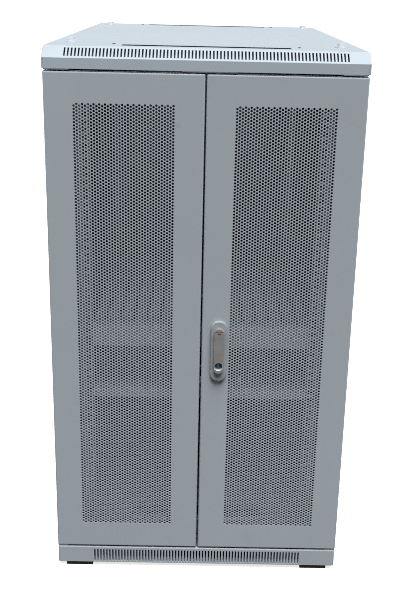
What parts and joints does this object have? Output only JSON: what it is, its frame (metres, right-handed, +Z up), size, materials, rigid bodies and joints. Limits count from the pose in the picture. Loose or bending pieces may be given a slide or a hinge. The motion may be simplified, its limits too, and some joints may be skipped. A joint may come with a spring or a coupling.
{
  "type": "network server rack cabinet",
  "caption": "Free-standing 19 inch network cabinet with perforated split front doors, swing-handle rod lock, slotted roof and plinth, rails, shelves, roof fans and levelling feet.",
  "frame": {"origin": "centre of the footprint at floor level, with the levelling feet screwed right in", "axes": "+X to the right when facing the front doors, +Y from the front doors to the rear door, +Z up"},
  "size_m": [0.602, 1.033, 1.1114],
  "materials": {
    "powder_coat": "satin light grey powder coat, fine texture",
    "frame_coat": "satin light grey powder coat",
    "zinc": "zinc plated",
    "lock_body": "satin warm grey die casting",
    "lever": "satin warm grey die casting",
    "key_core": "dark nickel",
    "black_plastic": "moulded",
    "guide_plastic": "moulded nylon",
    "lead_plastic": "grey PVC",
    "foot_steel": "dark plated"
  },
  "bodies": {
    "cabinet": {"base_frame": "powder_coat", "floor_panel": "frame_coat", "corner_post_front_left": "frame_coat", "corner_post_front_right": "frame_coat", "corner_post_rear_left": "frame_coat", "corner_post_rear_right": "frame_coat", "top_frame": "frame_coat", "roof_cover": "powder_coat", "roof_washers": "zinc", "roof_bolts": "zinc", "depth_beams": "frame_coat", "rail_front_left": "zinc", "rail_front_right": "zinc", "rail_rear_left": "zinc", "rail_rear_right": "zinc", "shelf_upper": "powder_coat", "shelf_lower": "powder_coat", "shelf_screws": "zinc", "fan_tray": "frame_coat", "fan_frame_left": "black_plastic", "fan_frame_right": "black_plastic", "fan_guards": "zinc", "fan_lead": "lead_plastic", "hinge_brackets": "zinc", "hinge_pins": "zinc", "lock_keepers": "zinc"},
    "leaf_left": {"door_front_left": "powder_coat", "bolt_guides": "zinc"},
    "leaf_right": {"door_front_right": "powder_coat", "lock_housing_front": "lock_body", "rod_guides_front": "guide_plastic"},
    "spindle_front": {"lock_spindle_front": "zinc", "lever_head_front": "lever"},
    "lever_front": {"lever_front": "lever", "lever_pin_front": "zinc"},
    "key_front": {"key_core_front": "key_core"},
    "rod_upper_front": {"lock_rod_upper_front": "zinc"},
    "rod_lower_front": {"lock_rod_lower_front": "zinc"},
    "bolt_upper": {"slide_bolt_upper": "zinc"},
    "bolt_lower": {"slide_bolt_lower": "zinc"},
    "leaf_rear": {"door_rear": "powder_coat", "lock_housing_rear": "lock_body", "rod_guides_rear": "guide_plastic"},
    "spindle_rear": {"lock_spindle_rear": "zinc", "lever_head_rear": "lever"},
    "lever_rear": {"lever_rear": "lever", "lever_pin_rear": "zinc"},
    "key_rear": {"key_core_rear": "key_core"},
    "rod_upper_rear": {"lock_rod_upper_rear": "zinc"},
    "rod_lower_rear": {"lock_rod_lower_rear": "zinc"},
    "foot_front_left": {"foot_front_left": "foot_steel"},
    "foot_front_right": {"foot_front_right": "foot_steel"},
    "foot_rear_left": {"foot_rear_left": "foot_steel"},
    "foot_rear_right": {"foot_rear_right": "foot_steel"},
    "panel_left": {"side_panel_left": "powder_coat"},
    "panel_right": {"side_panel_right": "powder_coat"},
    "panel_lock_left": {"side_lock_left": "zinc"},
    "panel_lock_right": {"side_lock_right": "zinc"},
    "rotor_left": {"fan_rotor_left": "black_plastic"},
    "rotor_right": {"fan_rotor_right": "black_plastic"}
  },
  "joints": [
    {"name": "door_left", "type": "hinge", "parent": "cabinet", "child": "leaf_left", "pos_m": [-0.2915, -0.488, 0.55], "axis": [0, 0, -1], "range_deg": [0, 115]},
    {"name": "door_right", "type": "hinge", "parent": "cabinet", "child": "leaf_right", "pos_m": [0.2915, -0.488, 0.55], "axis": [0, 0, 1], "range_deg": [0, 115]},
    {"name": "door_rear", "type": "hinge", "parent": "cabinet", "child": "leaf_rear", "pos_m": [-0.2915, 0.488, 0.55], "axis": [0, 0, 1], "range_deg": [0, 115]},
    {"name": "handle_turn_front", "type": "hinge", "parent": "leaf_right", "child": "spindle_front", "pos_m": [0.036, -0.5, 0.556], "axis": [0, -1, 0], "range_deg": [0, 90], "stiffness_Nm_per_rad": 0.5, "springref_deg": -11.46},
    {"name": "handle_tilt_front", "type": "hinge", "parent": "spindle_front", "child": "lever_front", "pos_m": [0.036, -0.5125, 0.558], "axis": [-1, 0, 0], "range_deg": [0, 35]},
    {"name": "key_turn_front", "type": "hinge", "parent": "leaf_right", "child": "key_front", "pos_m": [0.036, -0.5, 0.486], "axis": [0, 1, 0], "range_deg": [0, 90]},
    {"name": "rod_upper_front", "type": "slide", "parent": "leaf_right", "child": "rod_upper_front", "axis": [0, 0, -1], "range_m": [0, 0.012]},
    {"name": "rod_lower_front", "type": "slide", "parent": "leaf_right", "child": "rod_lower_front", "axis": [0, 0, 1], "range_m": [0, 0.012]},
    {"name": "bolt_upper", "type": "slide", "parent": "leaf_left", "child": "bolt_upper", "axis": [0, 0, -1], "range_m": [0, 0.012], "stiffness_N_per_m": 200, "springref_m": -0.005},
    {"name": "bolt_lower", "type": "slide", "parent": "leaf_left", "child": "bolt_lower", "axis": [0, 0, 1], "range_m": [0, 0.012]},
    {"name": "handle_turn_rear", "type": "hinge", "parent": "leaf_rear", "child": "spindle_rear", "pos_m": [0.2657, 0.5, 0.556], "axis": [0, 1, 0], "range_deg": [0, 90], "stiffness_Nm_per_rad": 0.5, "springref_deg": -11.46},
    {"name": "handle_tilt_rear", "type": "hinge", "parent": "spindle_rear", "child": "lever_rear", "pos_m": [0.2657, 0.5125, 0.558], "axis": [1, 0, 0], "range_deg": [0, 35]},
    {"name": "key_turn_rear", "type": "hinge", "parent": "leaf_rear", "child": "key_rear", "pos_m": [0.2657, 0.5, 0.486], "axis": [0, -1, 0], "range_deg": [0, 90]},
    {"name": "rod_upper_rear", "type": "slide", "parent": "leaf_rear", "child": "rod_upper_rear", "axis": [0, 0, -1], "range_m": [0, 0.012]},
    {"name": "rod_lower_rear", "type": "slide", "parent": "leaf_rear", "child": "rod_lower_rear", "axis": [0, 0, 1], "range_m": [0, 0.012]},
    {"name": "level_front_left", "type": "slide", "parent": "cabinet", "child": "foot_front_left", "axis": [0, 0, -1], "range_m": [0, 0.02]},
    {"name": "level_front_right", "type": "slide", "parent": "cabinet", "child": "foot_front_right", "axis": [0, 0, -1], "range_m": [0, 0.02]},
    {"name": "level_rear_left", "type": "slide", "parent": "cabinet", "child": "foot_rear_left", "axis": [0, 0, -1], "range_m": [0, 0.02]},
    {"name": "level_rear_right", "type": "slide", "parent": "cabinet", "child": "foot_rear_right", "axis": [0, 0, -1], "range_m": [0, 0.02]},
    {"name": "panel_left", "type": "slide", "parent": "cabinet", "child": "panel_left", "axis": [-1, 0, 0], "range_m": [0, 0.25]},
    {"name": "panel_right", "type": "slide", "parent": "cabinet", "child": "panel_right", "axis": [1, 0, 0], "range_m": [0, 0.25]},
    {"name": "panel_lock_left", "type": "hinge", "parent": "panel_left", "child": "panel_lock_left", "pos_m": [-0.296, 0, 0.961], "axis": [1, 0, 0], "range_deg": [0, 90]},
    {"name": "panel_lock_right", "type": "hinge", "parent": "panel_right", "child": "panel_lock_right", "pos_m": [0.296, 0, 0.961], "axis": [1, 0, 0], "range_deg": [0, 90]},
    {"name": "fan_spin_left", "type": "hinge", "parent": "cabinet", "child": "rotor_left", "pos_m": [-0.08, 0, 1.068], "axis": [0, 0, 1], "continuous": true},
    {"name": "fan_spin_right", "type": "hinge", "parent": "cabinet", "child": "rotor_right", "pos_m": [0.08, 0, 1.068], "axis": [0, 0, 1], "continuous": true}
  ],
  "couplings": [
    {"joint": "handle_turn_front", "follows": "rod_upper_front", "rad_per_m": 130.89},
    {"joint": "rod_lower_front", "follows": "rod_upper_front", "ratio": 1},
    {"joint": "handle_turn_rear", "follows": "rod_upper_rear", "rad_per_m": 130.89},
    {"joint": "rod_lower_rear", "follows": "rod_upper_rear", "ratio": 1}
  ]
}
